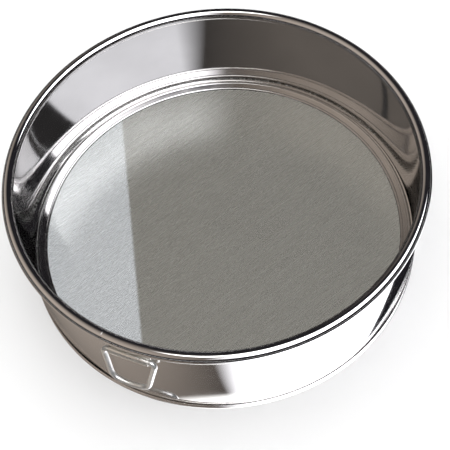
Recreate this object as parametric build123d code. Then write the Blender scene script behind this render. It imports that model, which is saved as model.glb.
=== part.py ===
from build123d import *
import os
from math import acos, cos, degrees, radians, sin, tan

# Round soil sieve: a sheet drum with a wired rim bead, a woven bottom held between two sheet
# rings, and a wire D-ring that swings in a rolled clip under the bead.
# Millimetres. The origin is the centre of the circle the sieve stands on, +Z runs up the drum's
# axis, and the D-ring hangs on the -Y side.

os.makedirs("parts", exist_ok=True)

# Drum
drum_outer_radius = 150.0
drum_height = 90.0
sheet_thickness = 0.8
seat_clearance = 0.05

# Rim bead: the wall's sheet necked inwards a little, then rolled outwards round a wire
rim_wire_radius = 3.3
rim_wire_clearance = 0.1
bead_inset = 2.4
neck_radius = 1.4
curl_end_angle = 75.0
curl_seam_gap = 0.4
seam_angle = -97.0

# Base ring: a hem outside the wall and a ledge inside it
hem_height = 4.5
ledge_height = 5.0
ledge_width = 8.0

# Woven bottom
mesh_wire_diameter = 0.28
mesh_margin = 0.5

# Clamp ring: a flat sheet band with a pressed ridge along each edge
ridge_radius = 1.3
ridge_spacing = 5.8
groove_width = 1.8

# D-ring and its clip
ring_wire_radius = 2.0
ring_clearance = 0.15
ring_axis_drop = 16.0
clip_length = 29.0
clip_end_clearance = 0.5
clip_opening_angle = 55.0
flange_height = 7.3
ring_corner_radius = 3.5
ring_arm_slant = 11.5
ring_side_drop = 28.5
ring_bottom_sag = 3.4
ring_low_radius = 8.5
ring_bottom_radius = 30.0
ring_butt_gap = 0.4
ring_rest_angle = 14.0

# Sizes that follow from the ones above
drum_inner_radius = drum_outer_radius - sheet_thickness
curl_inner_radius = rim_wire_radius + rim_wire_clearance
bead_radius = curl_inner_radius + sheet_thickness
bead_centre_radius = drum_inner_radius - bead_inset + bead_radius
bead_centre_height = drum_height - bead_radius
wall_middle_radius = drum_outer_radius - sheet_thickness / 2
neck_to_bead = bead_radius - sheet_thickness / 2 + neck_radius
neck_angle = degrees(acos((bead_centre_radius - wall_middle_radius + neck_radius) / neck_to_bead))
neck_height = bead_centre_height - neck_to_bead * sin(radians(neck_angle))
hem_outer_radius = drum_outer_radius + seat_clearance + sheet_thickness
leg_outer_radius = drum_inner_radius - seat_clearance
leg_inner_radius = leg_outer_radius - sheet_thickness
ledge_inner_radius = leg_outer_radius - ledge_width
mesh_thickness = 2 * mesh_wire_diameter
clamp_outer_radius = drum_inner_radius - groove_width
ridge_centre_radius = clamp_outer_radius - ridge_radius - ridge_spacing / 2
ring_axis_height = drum_height - ring_axis_drop
clip_inner_radius = ring_wire_radius + ring_clearance
clip_outer_radius = clip_inner_radius + sheet_thickness
ring_axis_distance = drum_outer_radius + seat_clearance + clip_outer_radius
ring_corner_run = ring_corner_radius * tan(radians((90 + ring_arm_slant) / 2))
ring_half_width = clip_length / 2 + clip_end_clearance + ring_corner_run
ring_low_half_width = ring_half_width - ring_side_drop * tan(radians(ring_arm_slant))


def band(inner, outer, low, high):
    """A rectangle in the XZ plane, from one radius to another and one height to another."""
    middle = Pos((inner + outer) / 2, (low + high) / 2)
    return Plane.XZ * middle * Rectangle(outer - inner, high - low)


def arc(centre, radius, start, end):
    """An arc in the XZ plane, between two angles about its centre."""
    points = [
        (centre[0] + radius * cos(radians(angle)), 0, centre[1] + radius * sin(radians(angle)))
        for angle in (start, (start + end) / 2, end)
    ]
    return ThreePointArc(*points)


def turned(section):
    """A full turn of a section about the drum's axis."""
    return revolve(section, Axis.Z, 360)


def save(shape, node):
    export_step(shape, f"parts/{node}.step")


def drum_wall():
    """The rolled wall with its rim necked in and curled outwards, open by a hair at the seam."""
    neck = (wall_middle_radius - neck_radius, neck_height)
    bead = (bead_centre_radius, bead_centre_height)
    inner_neck = arc(neck, neck_radius - sheet_thickness / 2, 0, neck_angle)
    outer_curl = arc(bead, bead_radius, 180 + neck_angle, -curl_end_angle)
    inner_curl = arc(bead, curl_inner_radius, -curl_end_angle, 180 + neck_angle)
    outer_neck = arc(neck, neck_radius + sheet_thickness / 2, neck_angle, 0)
    inner_foot = (drum_inner_radius, 0, sheet_thickness)
    outer_foot = (drum_outer_radius, 0, sheet_thickness)
    outline = [
        Line(inner_foot, inner_neck @ 0), inner_neck, outer_curl,
        Line(outer_curl @ 1, inner_curl @ 0), inner_curl, outer_neck,
        Line(outer_neck @ 1, outer_foot), Line(outer_foot, inner_foot),
    ]
    slot_depth = 2 * bead_radius + 1
    slot = Box(slot_depth, curl_seam_gap, slot_depth)
    slot = Pos(drum_outer_radius + seat_clearance + slot_depth / 2, 0, bead_centre_height) * slot
    return turned(make_face(outline)) - Rot(0, 0, seam_angle) * slot


def rim_wire():
    """The stiffening wire inside the curl, its two ends meeting behind the seam."""
    section = Plane.XZ * Pos(bead_centre_radius, bead_centre_height) * Circle(rim_wire_radius)
    wire = turned(section)
    width = 4 * rim_wire_radius
    gap = Pos(bead_centre_radius, 0, bead_centre_height) * Box(width, curl_seam_gap, width)
    return wire - Rot(0, 0, seam_angle) * gap


def base_ring():
    """The ring that hems the wall's lower edge and carries the woven bottom on a ledge."""
    hem = band(hem_outer_radius - sheet_thickness, hem_outer_radius, 0, hem_height)
    floor = band(leg_inner_radius, hem_outer_radius, 0, sheet_thickness)
    leg = band(leg_inner_radius, leg_outer_radius, 0, ledge_height)
    ledge = band(ledge_inner_radius, leg_outer_radius, ledge_height - sheet_thickness, ledge_height)
    return turned(hem + floor + leg + ledge)


def mesh_cloth():
    """The woven bottom, as the flat disc that its wires lie in."""
    disc = Cylinder(clamp_outer_radius + mesh_margin, mesh_thickness)
    return Pos(0, 0, ledge_height + mesh_thickness / 2) * disc


def clamp_ring():
    """The pressed ring that holds the woven bottom down, each ridge made of straight facets."""
    foot = ledge_height + mesh_thickness
    web_reach = ridge_spacing / 2 - ridge_radius + sheet_thickness / 2
    web_inner = ridge_centre_radius - web_reach
    web = band(web_inner, web_inner + 2 * web_reach, foot, foot + sheet_thickness)
    outline = [(ridge_radius, angle) for angle in range(0, 181, 30)]
    outline += [(ridge_radius - sheet_thickness, angle) for angle in range(180, -1, -45)]
    ridges = []
    for side in (-1, 1):
        centre_radius = ridge_centre_radius + side * ridge_spacing / 2
        points = [
            (centre_radius + radius * cos(radians(angle)), 0, foot + radius * sin(radians(angle)))
            for radius, angle in outline
        ]
        ridges.append(make_face(Polyline(*points, close=True)))
    return turned(ridges[0] + web + ridges[1])


def ring_clip():
    """The strap welded under the bead, rolled round the D-ring's bar."""
    reach = 2 * clip_outer_radius
    end = (reach * cos(radians(clip_opening_angle)), reach * sin(radians(clip_opening_angle)))
    opening = make_face(Polyline((0, 0), (reach, 0), (reach, end[1]), end, (0, 0)))
    roll = Circle(clip_outer_radius) - Circle(clip_inner_radius) - opening
    flange_middle = (clip_inner_radius + clip_outer_radius) / 2
    flange = Pos(flange_middle, flange_height / 2) * Rectangle(sheet_thickness, flange_height)
    strap = extrude(Plane.YZ * (roll + flange), clip_length / 2, both=True)
    return Pos(0, -ring_axis_distance, ring_axis_height) * strap


def d_ring():
    """The bent wire handle, its ends meeting inside the clip, hanging slightly outwards."""
    points = [
        (-ring_butt_gap / 2, 0, 0),
        (-ring_half_width, 0, 0),
        (-ring_low_half_width, 0, -ring_side_drop),
        (0, 0, -ring_side_drop - ring_bottom_sag),
        (ring_low_half_width, 0, -ring_side_drop),
        (ring_half_width, 0, 0),
        (ring_butt_gap / 2, 0, 0),
    ]
    radii = [
        ring_corner_radius, ring_low_radius, ring_bottom_radius, ring_low_radius,
        ring_corner_radius,
    ]
    path = FilletPolyline(*points, radius=radii)
    wire = sweep(Plane(points[0], z_dir=(-1, 0, 0)) * Circle(ring_wire_radius), path)
    hung = Rot(-ring_rest_angle, 0, 0) * wire
    return Pos(0, -ring_axis_distance, ring_axis_height) * hung


save(drum_wall(), "drum_wall")
save(rim_wire(), "rim_wire")
save(base_ring(), "base_ring")
save(mesh_cloth(), "mesh_cloth")
save(clamp_ring(), "clamp_ring")
save(ring_clip(), "ring_clip")
save(d_ring(), "d_ring")
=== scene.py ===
from math import acos, asin, atan, cos, pi, radians, sin, sqrt, tan
import bmesh
import bpy
from mathutils import Matrix, Quaternion, Vector


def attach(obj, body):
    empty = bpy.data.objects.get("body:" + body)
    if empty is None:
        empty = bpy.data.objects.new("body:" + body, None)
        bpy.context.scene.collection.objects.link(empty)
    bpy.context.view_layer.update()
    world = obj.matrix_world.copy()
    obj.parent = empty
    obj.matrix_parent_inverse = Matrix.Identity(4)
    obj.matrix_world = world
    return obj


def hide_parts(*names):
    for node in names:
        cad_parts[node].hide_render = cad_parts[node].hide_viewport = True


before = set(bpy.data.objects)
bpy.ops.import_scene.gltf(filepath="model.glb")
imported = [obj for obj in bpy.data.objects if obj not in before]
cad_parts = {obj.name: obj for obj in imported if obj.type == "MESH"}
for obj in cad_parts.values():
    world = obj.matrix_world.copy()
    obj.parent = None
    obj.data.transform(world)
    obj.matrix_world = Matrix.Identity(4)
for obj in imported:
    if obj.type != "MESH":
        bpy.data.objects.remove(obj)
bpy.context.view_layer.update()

# A soil sieve: polished sheet drum, wired bead, woven bottom between two sheet rings, hanging ring.
# Metres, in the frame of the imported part: +Z up the drum's axis, the hanging ring on the -Y side.

MM = 0.001

# Sheet metal
SHEET = 0.8 * MM
SEAT = 0.05 * MM
EDGE_ROUND = 0.22 * MM
DRUM_R = 150 * MM
DRUM_H = 90 * MM
CURL_INNER = 3.4 * MM
CURL_END = radians(75)
BEAD_INSET = 2.4 * MM
NECK_R = 1.4 * MM
SEAM_ANGLE = radians(-97)
SEAM_GAP = 0.4 * MM
SEAM_REACH = 8 * MM
SEAM_CATCH = 0.1 * MM
SLIT_MARGIN, SLIT_DEPTH = 0.03 * MM, 0.6 * MM
SLIT_OFF_WALL = 0.5 * MM
WELD_WIDTH = 0.7 * MM
WELD_MARGIN, WELD_DEPTH = 0.12 * MM, 0.09 * MM
WELD_OFF_HEM, WELD_OFF_NECK = 2 * MM, 1 * MM

# Base ring, woven bottom and clamp ring
HEM_H = 4.5 * MM
LEDGE_H = 5 * MM
LEDGE_W = 8 * MM
MESH_WIRE = 0.28 * MM
MESH_PITCH = 0.705 * MM
MESH_MARGIN = 0.5 * MM
WARP_ANGLE = radians(61)
RIDGE_R = 1.3 * MM
RIDGE_SPACING = 5.8 * MM
GROOVE = 1.8 * MM

# Hanging ring and clip
WIRE_R = 2 * MM
RING_CLEARANCE = 0.15 * MM
RING_DROP = 16 * MM
CLIP_L = 29 * MM
CLIP_OPENING = radians(55)
CLIP_END = 0.5 * MM
CLIP_ROUND = 0.12 * MM
FLANGE_H = 7.3 * MM
CORNER_R = 3.5 * MM
ARM_SLANT = radians(11.5)
SIDE_DROP = 28.5 * MM
BOTTOM_SAG = 3.4 * MM
LOW_R = 8.5 * MM
BOTTOM_R = 30 * MM
BUTT_GAP = 0.4 * MM
REST_TILT = radians(14)

# Sizes that follow
DRUM_INNER = DRUM_R - SHEET
BEAD_R = CURL_INNER + SHEET
BEAD_CENTRE = Vector((DRUM_INNER - BEAD_INSET + BEAD_R, 0, DRUM_H - BEAD_R))
WALL_MIDDLE = DRUM_R - SHEET / 2
NECK_TO_BEAD = BEAD_R - SHEET / 2 + NECK_R
NECK_TURN = acos((BEAD_CENTRE.x - WALL_MIDDLE + NECK_R) / NECK_TO_BEAD)
NECK_CENTRE = Vector((WALL_MIDDLE - NECK_R, 0, BEAD_CENTRE.z - NECK_TO_BEAD * sin(NECK_TURN)))
LEG_OUTER = DRUM_INNER - SEAT
LEG_INNER = LEG_OUTER - SHEET
HEM_OUTER = DRUM_R + SEAT + SHEET
CLAMP_OUTER = DRUM_INNER - GROOVE
MESH_R = CLAMP_OUTER + MESH_MARGIN
CLAMP_FOOT = LEDGE_H + 2 * MESH_WIRE
CLIP_INNER = WIRE_R + RING_CLEARANCE
CLIP_OUTER = CLIP_INNER + SHEET
RING_AXIS = Vector((0, -(DRUM_R + SEAT + CLIP_OUTER), DRUM_H - RING_DROP))

# How finely the round shapes are cut
TURN_STEPS = 360
NECK_STEPS, CURL_STEPS, RIDGE_STEPS, ROLL_STEPS = 8, 48, 14, 40
BEND_STEP = radians(6)
WIRE_SIDES, MESH_WIRE_SIDES = 20, 6
ROUNDED_CORNER = radians(135)
MERGE, CUT = 1e-7, 1e-8

X, Y, Z = Vector((1, 0, 0)), Vector((0, 1, 0)), Vector((0, 0, 1))


# ---------------------------------------------------------------- materials

NOISE_LOW, NOISE_HIGH = 0.3, 0.7
CLOUD_SCALE = 22
EVEN = (1, 1, 1)


def node_material(name):
    """A material with its shader and a texture coordinate, ready for the pattern nodes."""
    material = bpy.data.materials.new(name)
    material.use_nodes = True
    nodes = material.node_tree.nodes
    shader = nodes["Principled BSDF"]
    where = nodes.new("ShaderNodeTexCoord")
    return material, nodes, material.node_tree.links, shader, where


def turned_noise(nodes, links, where, scale, stretch, turn=0.0):
    """Noise on Object coordinates, stretched along axes turned about Z."""
    mapping = nodes.new("ShaderNodeMapping")
    mapping.vector_type = "TEXTURE"
    mapping.inputs["Rotation"].default_value = (0, 0, turn)
    mapping.inputs["Scale"].default_value = stretch
    noise = nodes.new("ShaderNodeTexNoise")
    noise.inputs["Scale"].default_value = scale
    noise.inputs["Detail"].default_value = 3.0
    links.new(where.outputs["Object"], mapping.inputs["Vector"])
    links.new(mapping.outputs["Vector"], noise.inputs["Vector"])
    return noise.outputs["Fac"]


def ranged(nodes, links, value, low, high):
    """Noise brought to a range."""
    span = nodes.new("ShaderNodeMapRange")
    span.inputs["From Min"].default_value = NOISE_LOW
    span.inputs["From Max"].default_value = NOISE_HIGH
    span.inputs["To Min"].default_value = low
    span.inputs["To Max"].default_value = high
    links.new(value, span.inputs["Value"])
    return span.outputs["Result"]


def coloured(nodes, links, value, dark, light):
    """Noise as a run between two colours."""
    ramp = nodes.new("ShaderNodeValToRGB")
    ramp.color_ramp.elements[0].position = NOISE_LOW
    ramp.color_ramp.elements[1].position = NOISE_HIGH
    ramp.color_ramp.elements[0].color = (*dark, 1)
    ramp.color_ramp.elements[1].color = (*light, 1)
    links.new(value, ramp.inputs["Fac"])
    return ramp.outputs["Color"]


def steel(name, dark, light, rough, scale, stretch=EVEN, turn=0.0):
    """Bare steel with fine grain in its colour and gloss."""
    material, nodes, links, shader, where = node_material(name)
    shader.inputs["Metallic"].default_value = 1.0
    grain = turned_noise(nodes, links, where, scale, stretch, turn)
    cloud = turned_noise(nodes, links, where, CLOUD_SCALE, EVEN)
    links.new(coloured(nodes, links, cloud, dark, light), shader.inputs["Base Color"])
    links.new(ranged(nodes, links, grain, *rough), shader.inputs["Roughness"])
    return material


polished = steel(
    "polished_sheet", (0.76, 0.75, 0.74), (0.82, 0.81, 0.80), rough=(0.04, 0.08),
    scale=60, stretch=(1, 1, 0.3),
)
pressed = steel(
    "pressed_sheet", (0.58, 0.57, 0.56), (0.66, 0.65, 0.64), rough=(0.06, 0.12), scale=90,
)
satin = steel(
    "satin_strap", (0.80, 0.78, 0.73), (0.88, 0.86, 0.81), rough=(0.24, 0.34),
    scale=300, stretch=(5, 1, 1),
)
drawn = steel(
    "drawn_wire", (0.80, 0.80, 0.78), (0.88, 0.88, 0.86), rough=(0.30, 0.42), scale=500,
)
cloth = steel(
    "woven_wire", (0.40, 0.41, 0.39), (0.48, 0.49, 0.47), rough=(0.24, 0.29),
    scale=700, stretch=(60, 1, 1), turn=WARP_ANGLE,
)


# ---------------------------------------------------------------- mesh helpers

def finished(name, bm, material, body, nodes, sharp=40):
    """Turns a bmesh into a piece of the sieve that rides on a body."""
    bmesh.ops.recalc_face_normals(bm, faces=bm.faces)
    mesh = bpy.data.meshes.new(name)
    bm.to_mesh(mesh)
    bm.free()
    mesh.shade_smooth()
    mesh.set_sharp_from_angle(angle=radians(sharp))
    mesh.materials.append(material)
    piece = bpy.data.objects.new(name, mesh)
    bpy.context.scene.collection.objects.link(piece)
    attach(piece, body)
    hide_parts(*nodes)


def edge_between(bm, first, second):
    return bm.edges.new((bm.verts.new(first), bm.verts.new(second)))


def bent(bm, geometry, centre, axis, angle, steps):
    """Spins loose edges into a strip, and gives back the strip's last edges."""
    result = bmesh.ops.spin(
        bm, geom=geometry, cent=centre, axis=axis, angle=angle, steps=steps, use_merge=False
    )
    return [item for item in result["geom_last"] if isinstance(item, bmesh.types.BMEdge)]


def run_on(bm, geometry, move):
    """Extrudes edges along a straight run, and gives back the new edges."""
    result = bmesh.ops.extrude_edge_only(bm, edges=geometry)["geom"]
    verts = [item for item in result if isinstance(item, bmesh.types.BMVert)]
    bmesh.ops.translate(bm, verts=verts, vec=move)
    edges = [item for item in result if isinstance(item, bmesh.types.BMEdge)]
    return [edge for edge in edges if edge.verts[0] in verts and edge.verts[1] in verts]


def outline_only(bm):
    """Rounds a flat section's corners and leaves its outline."""
    bmesh.ops.remove_doubles(bm, verts=bm.verts, dist=MERGE)
    corners = []
    for vert in bm.verts:
        rim = [edge for edge in vert.link_edges if edge.is_boundary]
        if len(rim) == 2:
            one, other = (edge.other_vert(vert).co - vert.co for edge in rim)
            if one.angle(other) < ROUNDED_CORNER:
                corners.append(vert)
    bmesh.ops.delete(bm, geom=bm.faces[:], context="FACES_KEEP_BOUNDARY")
    bmesh.ops.bevel(
        bm, geom=corners, offset=EDGE_ROUND, segments=3, profile=0.5, affect="VERTICES", material=-1
    )


def turned(bm):
    """Spins an outline through a full turn about the drum's axis."""
    bmesh.ops.spin(
        bm, geom=bm.verts[:] + bm.edges[:], cent=(0, 0, 0), axis=Z, angle=2 * pi,
        steps=TURN_STEPS, use_merge=True,
    )
    bmesh.ops.remove_doubles(bm, verts=bm.verts, dist=MERGE)


# ---------------------------------------------------------------- drum wall

def drum_section(bm):
    """The wall's section: straight up, necked inwards, then curled outwards round the rim wire."""
    start = edge_between(bm, (DRUM_INNER, 0, NECK_CENTRE.z), (DRUM_R, 0, NECK_CENTRE.z))
    run_on(bm, [start], -Z * (NECK_CENTRE.z - SHEET))
    necked = bent(bm, start.verts[:] + [start], NECK_CENTRE, Y, -NECK_TURN, NECK_STEPS)
    curl = pi + NECK_TURN + CURL_END
    bent(bm, list(necked[0].verts) + necked, BEAD_CENTRE, Y, curl, CURL_STEPS)


def seam_strip(bm, width, wanted):
    """Cuts the surface along two upright planes beside the seam and returns the strip's faces."""
    ahead = Matrix.Rotation(SEAM_ANGLE, 3, "Z") @ X
    across = Matrix.Rotation(SEAM_ANGLE, 3, "Z") @ Y

    def beside_seam():
        middles = ((face, face.calc_center_median()) for face in bm.faces)
        return [face for face, at in middles if (at - ahead * DRUM_R).xy.length < SEAM_REACH]

    near = beside_seam()
    for side in (-1, 1):
        geometry = near + [e for f in near for e in f.edges] + [v for f in near for v in f.verts]
        bmesh.ops.bisect_plane(
            bm, geom=list(dict.fromkeys(geometry)), plane_co=across * side * width / 2,
            plane_no=across, dist=CUT,
        )
        near = beside_seam()
    middles = ((face, face.calc_center_median()) for face in near)
    return [face for face, at in middles if abs(at.dot(across)) < width / 2 and wanted(at)]


def bead_distance(point):
    return Vector((point.xy.length - BEAD_CENTRE.x, point.z - BEAD_CENTRE.z)).length


def drum_wall():
    """The turned wall, with the slit in its curl and the shallow upright weld."""
    bm = bmesh.new()
    drum_section(bm)
    outline_only(bm)
    turned(bm)
    bmesh.ops.recalc_face_normals(bm, faces=bm.faces)

    def outside_of_curl(point):
        on_curl = abs(bead_distance(point) - BEAD_R) < SEAM_CATCH
        return on_curl and point.xy.length > DRUM_R + SLIT_OFF_WALL

    def outside_of_wall(point):
        on_wall = abs(point.xy.length - DRUM_R) < SEAT
        return on_wall and HEM_H + WELD_OFF_HEM < point.z < NECK_CENTRE.z - WELD_OFF_NECK

    slit = seam_strip(bm, SEAM_GAP, outside_of_curl)
    bmesh.ops.inset_region(bm, faces=slit, thickness=SLIT_MARGIN, depth=-SLIT_DEPTH)
    weld = seam_strip(bm, WELD_WIDTH, outside_of_wall)
    bmesh.ops.inset_region(bm, faces=weld, thickness=WELD_MARGIN, depth=-WELD_DEPTH)
    finished("rolled_wall", bm, polished, "drum", ["drum_wall"], sharp=50)


# ---------------------------------------------------------------- base and clamp rings

def folded(points, name, material, node):
    """A ring of folded sheet: a flat section, given as radius and height, turned about the axis."""
    bm = bmesh.new()
    bm.faces.new([bm.verts.new((radius, 0, height)) for radius, height in points])
    outline_only(bm)
    turned(bm)
    finished(name, bm, material, "drum", [node])


def base_ring():
    """Hem outside the wall, floor under it, and leg and ledge inside it."""
    ledge_inner = LEG_OUTER - LEDGE_W
    section = [
        (HEM_OUTER - SHEET, HEM_H), (HEM_OUTER, HEM_H), (HEM_OUTER, 0), (LEG_INNER, 0),
        (LEG_INNER, LEDGE_H - SHEET), (ledge_inner, LEDGE_H - SHEET), (ledge_inner, LEDGE_H),
        (LEG_OUTER, LEDGE_H), (LEG_OUTER, SHEET), (HEM_OUTER - SHEET, SHEET),
    ]
    folded(section, "hem_ring", polished, "base_ring")


def clamp_ring():
    """A flat band with a half-round ridge pressed along each edge."""
    bm = bmesh.new()
    middle = CLAMP_OUTER - RIDGE_R - RIDGE_SPACING / 2
    web = asin(SHEET / RIDGE_R)
    for side in (-1, 1):
        centre = Vector((middle + side * RIDGE_SPACING / 2, 0, CLAMP_FOOT))
        foot = bm.verts.new(centre + X * side * RIDGE_R)
        bmesh.ops.spin(
            bm, geom=[foot], cent=centre, axis=Y, angle=-side * (pi - web), steps=RIDGE_STEPS,
            use_merge=False,
        )
    loose = [vert for vert in bm.verts if len(vert.link_edges) == 1]
    tops = sorted(loose, key=lambda vert: abs(vert.co.x - middle))
    bm.edges.new(tops[:2])
    bm.edges.new(tops[2:])
    turned(bm)
    finished("ridged_ring", bm, pressed, "drum", ["clamp_ring"])


# ---------------------------------------------------------------- woven bottom

def wires(name, angle, height):
    """Parallel wires of the woven bottom, cut to the round."""
    bm = bmesh.new()
    count = int(MESH_R / MESH_PITCH)
    turn = Matrix.Rotation(angle, 4, "Z")
    lay = Matrix.Rotation(pi / 2, 4, "Y")
    for index in range(-count, count + 1):
        offset = index * MESH_PITCH
        half = sqrt(MESH_R ** 2 - offset ** 2)
        place = turn @ Matrix.Translation((0, offset, height)) @ lay
        bmesh.ops.create_cone(
            bm, cap_ends=True, segments=MESH_WIRE_SIDES, radius1=MESH_WIRE / 2,
            radius2=MESH_WIRE / 2, depth=2 * half, matrix=place,
        )
    finished(name, bm, cloth, "drum", ["mesh_cloth"])


# ---------------------------------------------------------------- clip and hanging ring

def ring_clip():
    """The strap: a flange against the wall, then a roll round the ring's bar."""
    bm = bmesh.new()
    start = edge_between(bm, RING_AXIS + Y * CLIP_INNER, RING_AXIS + Y * CLIP_OUTER)
    bent(bm, start.verts[:] + [start], RING_AXIS, X, -(2 * pi - CLIP_OPENING), ROLL_STEPS)
    run_on(bm, [start], Z * FLANGE_H)
    bmesh.ops.remove_doubles(bm, verts=bm.verts, dist=MERGE)
    bmesh.ops.translate(bm, verts=bm.verts, vec=-X * CLIP_L / 2)
    section = bm.faces[:]
    made = bmesh.ops.extrude_face_region(bm, geom=section)["geom"]
    verts = [item for item in made if isinstance(item, bmesh.types.BMVert)]
    bmesh.ops.translate(bm, verts=verts, vec=X * CLIP_L)
    bmesh.ops.recalc_face_normals(bm, faces=bm.faces)
    sharp = [edge for edge in bm.edges if edge.is_manifold and edge.calc_face_angle() > radians(60)]
    bmesh.ops.bevel(
        bm, geom=sharp, offset=CLIP_ROUND, segments=2, profile=0.5, affect="EDGES", material=-1
    )
    finished("rolled_clip", bm, satin, "drum", ["ring_clip"])


def d_ring():
    """Half of the wire, bent step by step, then mirrored."""
    bm = bmesh.new()
    top_turn = pi / 2 + ARM_SLANT
    top_run = CORNER_R * tan(top_turn / 2)
    half_width = CLIP_L / 2 + CLIP_END + top_run
    low_half = half_width - SIDE_DROP * tan(ARM_SLANT)
    bottom_turn = atan(BOTTOM_SAG / low_half)
    low_turn = pi - top_turn - bottom_turn
    low_run = LOW_R * tan(low_turn / 2)
    side = SIDE_DROP / cos(ARM_SLANT)
    sag = low_half / cos(bottom_turn)
    bends = [
        (half_width - BUTT_GAP / 2 - top_run, CORNER_R, top_turn),
        (side - top_run - low_run, LOW_R, low_turn),
        (sag - low_run - BOTTOM_R * tan(bottom_turn), BOTTOM_R, bottom_turn),
    ]
    place = Matrix.Translation(X * BUTT_GAP / 2) @ Matrix.Rotation(pi / 2, 4, "Y")
    end = bmesh.ops.create_circle(
        bm, cap_ends=True, segments=WIRE_SIDES, radius=WIRE_R, matrix=place
    )
    loop = list(dict.fromkeys(edge for vert in end["verts"] for edge in vert.link_edges))
    at, heading = X * BUTT_GAP / 2, X.copy()
    for run, radius, turn in bends:
        loop = run_on(bm, loop, heading * run)
        at = at + heading * run
        inward = heading.cross(-Y)
        centre = at + inward * radius
        verts = list(dict.fromkeys(vert for edge in loop for vert in edge.verts))
        loop = bent(bm, verts + loop, centre, Y, turn, max(4, int(turn / BEND_STEP)))
        heading = Matrix.Rotation(turn, 3, "Y") @ heading
        at = centre - Matrix.Rotation(turn, 3, "Y") @ inward * radius
    bmesh.ops.remove_doubles(bm, verts=bm.verts, dist=MERGE)
    bmesh.ops.mirror(bm, geom=bm.verts[:] + bm.edges[:] + bm.faces[:], axis="X", merge_dist=1e-5)
    hang = Matrix.Translation(RING_AXIS) @ Matrix.Rotation(-REST_TILT, 4, "X")
    bmesh.ops.transform(bm, matrix=hang, verts=bm.verts)
    finished("wire_ring", bm, drawn, "hanging_ring", ["d_ring"])


drum_wall()
base_ring()
clamp_ring()
wires("warp_wires", WARP_ANGLE, LEDGE_H + MESH_WIRE / 2)
wires("weft_wires", WARP_ANGLE + pi / 2, LEDGE_H + MESH_WIRE * 1.5)
ring_clip()
d_ring()
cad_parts["rim_wire"].data.materials.clear()
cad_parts["rim_wire"].data.materials.append(drawn)


# ---------------------------------------------------------------- stage, light, camera

# What the polished sheet mirrors: azimuths from +X, and elevations above the floor
KEY_AZIMUTH, KEY_HALF = radians(-5), radians(60)
KEY_FADES = (radians(13), radians(1))
KEY_LOW, KEY_HIGH = radians(36), radians(80)
KEY_LIGHT = (3.8, 3.8, 4.0)
OVERHEAD_LOW, OVERHEAD_FULL = radians(76), radians(80)
OVERHEAD_LIGHT = (3.6, 3.6, 3.6)
LEFT_AZIMUTH, LEFT_RISE, LEFT_SPREAD = radians(-150), 0.2, (0.15, 0.75)
LEFT_LOW, LEFT_FULL = radians(14), radians(34)
LEFT_LIGHT = (0.50, 0.43, 0.37)
DARK_ROOM = (0.015, 0.014, 0.017, 1)
WHITE_STRENGTH = 1.3
PANEL_FADE = radians(4)

# Floor; a glowing card of painted shade and painted light under the woven bottom; and the mirrors
# that stand in for the rest of the studio, one of them with a faint painted glow
FLOOR_SIZE, FLOOR_TONES = 12, ((0.90,) * 3, (0.92,) * 3)
TABLE_SIZE, TABLE_Z = 3, 0.2 * MM
CARD_R, CARD_Z = 147 * MM, 0.3 * MM
CARD_AZIMUTH, CARD_EDGE, CARD_FADE = radians(209), 72 * MM, 1 * MM
# The card's glow: painted shade under the woven bottom, and painted light beyond its straight edge
CARD_PAINTED_SHADE, CARD_PAINTED_LIGHT = (0.50, 0.48, 0.43, 1), (1.20, 1.24, 1.28, 1)
MIRROR_R, MIRROR_Z = 141 * MM, 6 * MM
MIRROR_LEAN, MIRROR_LEAN_AZIMUTH = 0.13, radians(134)
# Faint glow of the mirror disc: painted light in the wall's reflection of the woven bottom
MIRROR_PAINTED_GLOW, MIRROR_PAINTED_GLOW_STRENGTH = (1, 0.97, 0.95, 1), 0.02


def stage_piece(name, bm, material):
    mesh = bpy.data.meshes.new(name)
    bm.to_mesh(mesh)
    bm.free()
    mesh.materials.append(material)
    piece = bpy.data.objects.new(name, mesh)
    bpy.context.scene.collection.objects.link(piece)
    return piece


def stage_plane(name, size, height, material):
    bm = bmesh.new()
    bmesh.ops.create_grid(
        bm, x_segments=1, y_segments=1, size=size / 2, matrix=Matrix.Translation(Z * height)
    )
    return stage_piece(name, bm, material)


def stage_disc(name, radius, height, material):
    bm = bmesh.new()
    bmesh.ops.create_circle(
        bm, cap_ends=True, segments=128, radius=radius, matrix=Matrix.Translation(Z * height)
    )
    return stage_piece(name, bm, material)


def for_gloss_only(piece):
    """Leaves a stage piece to mirrored rays alone."""
    piece.visible_camera = False
    piece.visible_diffuse = False
    piece.visible_shadow = False


def step(nodes, links, value, start, end):
    """0 below the start, 1 above the end, and the other way round when start is the larger."""
    ramp = nodes.new("ShaderNodeMapRange")
    low_first = start < end
    ramp.inputs["From Min"].default_value = min(start, end)
    ramp.inputs["From Max"].default_value = max(start, end)
    ramp.inputs["To Min"].default_value = 0.0 if low_first else 1.0
    ramp.inputs["To Max"].default_value = 1.0 if low_first else 0.0
    links.new(value, ramp.inputs["Value"])
    return ramp.outputs["Result"]


def product(nodes, links, values):
    """All the values multiplied together."""
    result = values[0]
    for value in values[1:]:
        node = nodes.new("ShaderNodeMath")
        node.operation = "MULTIPLY"
        links.new(result, node.inputs[0])
        links.new(value, node.inputs[1])
        result = node.outputs["Value"]
    return result


def floor():
    material, nodes, links, shader, where = node_material("floor_paint")
    shader.inputs["Roughness"].default_value = 0.9
    tone = turned_noise(nodes, links, where, 3, EVEN)
    paint = coloured(nodes, links, tone, *FLOOR_TONES)
    links.new(paint, shader.inputs["Base Color"])
    stage_plane("floor", FLOOR_SIZE, 0, material)


def gloss_table():
    """A mirror on the floor that only the polished sheet sees, as on a shooting table."""
    material = steel("table_gloss", (0.80,) * 3, (0.82,) * 3, rough=(0.02, 0.04), scale=2)
    for_gloss_only(stage_plane("gloss_table", TABLE_SIZE, TABLE_Z, material))


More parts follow.
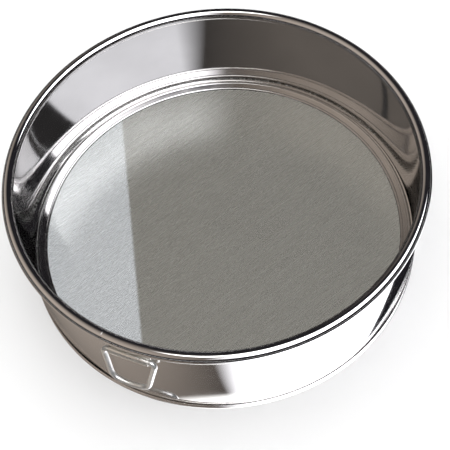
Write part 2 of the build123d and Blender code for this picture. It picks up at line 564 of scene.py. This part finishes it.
def painted_light_and_shade_disc():
    """A glowing card under the woven bottom, seen through its openings: painted shade for the floor
    in the drum's shadow, and painted light beyond a straight edge on its left.
    """
    material, nodes, links, shader, where = node_material("painted_light_and_shade_card")
    turn = nodes.new("ShaderNodeVectorRotate")
    turn.rotation_type = "Z_AXIS"
    turn.inputs["Angle"].default_value = -CARD_AZIMUTH
    links.new(where.outputs["Object"], turn.inputs["Vector"])
    parts = nodes.new("ShaderNodeSeparateXYZ")
    links.new(turn.outputs["Vector"], parts.inputs["Vector"])
    # Painted shade, and painted light beyond the straight edge; the card glows with them, though it
    # is no lamp
    ramp = nodes.new("ShaderNodeValToRGB")
    ramp.color_ramp.elements[0].color = CARD_PAINTED_SHADE
    ramp.color_ramp.elements[1].color = CARD_PAINTED_LIGHT
    edge = step(nodes, links, parts.outputs["X"], CARD_EDGE - CARD_FADE, CARD_EDGE + CARD_FADE)
    links.new(edge, ramp.inputs["Fac"])
    shader.inputs["Base Color"].default_value = (0.02, 0.02, 0.02, 1)
    links.new(ramp.outputs["Color"], shader.inputs["Emission Color"])
    shader.inputs["Emission Strength"].default_value = 1.0
    disc = stage_disc("painted_light_and_shade_disc", CARD_R, CARD_Z, material)
    disc.visible_glossy = False
    disc.visible_diffuse = False


def mirror_disc():
    """A dim one-sided mirror just over the woven bottom, seen only by the polished wall, where it
    stands in for the bottom in the wall's reflection; its faint glow is painted light.
    """
    material = steel("dim_mirror_with_painted_glow", (0.20,) * 3, (0.22,) * 3, rough=(0.02, 0.03), scale=2)
    nodes, links = material.node_tree.nodes, material.node_tree.links
    shader = nodes["Principled BSDF"]
    clear = nodes.new("ShaderNodeBsdfTransparent")
    side = nodes.new("ShaderNodeNewGeometry")
    mix = nodes.new("ShaderNodeMixShader")
    links.new(side.outputs["Backfacing"], mix.inputs[0])
    links.new(shader.outputs["BSDF"], mix.inputs[1])
    links.new(clear.outputs["BSDF"], mix.inputs[2])
    links.new(mix.outputs["Shader"], nodes["Material Output"].inputs["Surface"])
    lean = Vector((cos(MIRROR_LEAN_AZIMUTH), sin(MIRROR_LEAN_AZIMUTH), 0)) * MIRROR_LEAN
    tilt = nodes.new("ShaderNodeCombineXYZ")
    for axis, value in zip("XYZ", (Z + lean).normalized()):
        tilt.inputs[axis].default_value = value
    links.new(tilt.outputs["Vector"], shader.inputs["Normal"])
    # Painted light: a faint glow from a disc that is no lamp
    shader.inputs["Emission Color"].default_value = MIRROR_PAINTED_GLOW
    shader.inputs["Emission Strength"].default_value = MIRROR_PAINTED_GLOW_STRENGTH
    for_gloss_only(stage_disc("mirror_disc", MIRROR_R, MIRROR_Z, material))


def sky_panel(nodes, links, where, azimuth, half, soft, low, high):
    """A bright panel of the sky, between two azimuths and two elevations."""
    turn = nodes.new("ShaderNodeVectorRotate")
    turn.rotation_type = "Z_AXIS"
    turn.inputs["Angle"].default_value = -azimuth
    links.new(where.outputs["Generated"], turn.inputs["Vector"])
    parts = nodes.new("ShaderNodeSeparateXYZ")
    links.new(turn.outputs["Vector"], parts.inputs["Vector"])
    around = nodes.new("ShaderNodeMath")
    around.operation = "ARCTAN2"
    links.new(parts.outputs["Y"], around.inputs[0])
    links.new(parts.outputs["X"], around.inputs[1])
    return product(nodes, links, [
        step(nodes, links, around.outputs["Value"], -half - soft[0], -half + soft[0]),
        step(nodes, links, around.outputs["Value"], half + soft[1], half - soft[1]),
        step(nodes, links, parts.outputs["Z"], sin(low), sin(low + PANEL_FADE)),
        step(nodes, links, parts.outputs["Z"], sin(high), sin(high - PANEL_FADE)),
    ])


def lit(nodes, links, mask, colour, under):
    """A colour laid over the sky where the mask is up."""
    add = nodes.new("ShaderNodeVectorMath")
    add.operation = "MULTIPLY_ADD"
    add.inputs[1].default_value = colour
    links.new(mask, add.inputs[0])
    links.new(under, add.inputs[2])
    return add.outputs["Vector"]


def studio_world():
    """White for the eye and the floor; for gloss, a dark room with bright panels round it."""
    world = bpy.data.worlds.new("studio")
    bpy.context.scene.world = world
    world.use_nodes = True
    nodes, links = world.node_tree.nodes, world.node_tree.links
    white = nodes["Background"]
    white.inputs["Color"].default_value = (1, 1, 1, 1)
    white.inputs["Strength"].default_value = WHITE_STRENGTH
    where = nodes.new("ShaderNodeTexCoord")
    toward = nodes.new("ShaderNodeVectorMath")
    toward.operation = "DOT_PRODUCT"
    toward.inputs[1].default_value = (cos(LEFT_AZIMUTH), sin(LEFT_AZIMUTH), LEFT_RISE)
    links.new(where.outputs["Generated"], toward.inputs[0])
    parts = nodes.new("ShaderNodeSeparateXYZ")
    links.new(where.outputs["Generated"], parts.inputs["Vector"])
    warm = product(nodes, links, [
        step(nodes, links, toward.outputs["Value"], *LEFT_SPREAD),
        step(nodes, links, parts.outputs["Z"], sin(LEFT_LOW), sin(LEFT_FULL)),
    ])
    dark = nodes.new("ShaderNodeRGB")
    dark.outputs["Color"].default_value = DARK_ROOM
    sky = lit(nodes, links, warm, LEFT_LIGHT, dark.outputs["Color"])
    key = sky_panel(nodes, links, where, KEY_AZIMUTH, KEY_HALF, KEY_FADES, KEY_LOW, KEY_HIGH)
    sky = lit(nodes, links, key, KEY_LIGHT, sky)
    overhead = step(nodes, links, parts.outputs["Z"], sin(OVERHEAD_LOW), sin(OVERHEAD_FULL))
    sky = lit(nodes, links, overhead, OVERHEAD_LIGHT, sky)
    room = nodes.new("ShaderNodeBackground")
    links.new(sky, room.inputs["Color"])
    ray = nodes.new("ShaderNodeLightPath")
    mix = nodes.new("ShaderNodeMixShader")
    links.new(ray.outputs["Is Glossy Ray"], mix.inputs["Fac"])
    links.new(white.outputs["Background"], mix.inputs[1])
    links.new(room.outputs["Background"], mix.inputs[2])
    links.new(mix.outputs["Shader"], nodes["World Output"].inputs["Surface"])


floor()
gloss_table()
painted_light_and_shade_disc()
mirror_disc()
studio_world()
bpy.context.scene.view_settings.view_transform = "Standard"

CAMERA_TARGET = Vector((0.09 * MM, 4.84 * MM, 0))
CAMERA_AZIMUTH = radians(-62.2)
CAMERA_ELEVATION = radians(57.5)
CAMERA_DISTANCE = 806 * MM
CAMERA_ROLL = radians(-7.06)
CAMERA_LENS, SENSOR_WIDTH = 80.83, 36

camera_data = bpy.data.cameras.new("camera")
camera_data.lens = CAMERA_LENS
camera_data.sensor_width = SENSOR_WIDTH
camera = bpy.data.objects.new("camera", camera_data)
bpy.context.scene.collection.objects.link(camera)
bpy.context.scene.camera = camera
outward = Vector((
    cos(CAMERA_ELEVATION) * cos(CAMERA_AZIMUTH),
    cos(CAMERA_ELEVATION) * sin(CAMERA_AZIMUTH),
    sin(CAMERA_ELEVATION),
))
camera.location = CAMERA_TARGET + outward * CAMERA_DISTANCE
level = (-outward).to_track_quat("-Z", "Y")
camera.rotation_mode = "QUATERNION"
camera.rotation_quaternion = level @ Quaternion((0, 0, 1), CAMERA_ROLL)
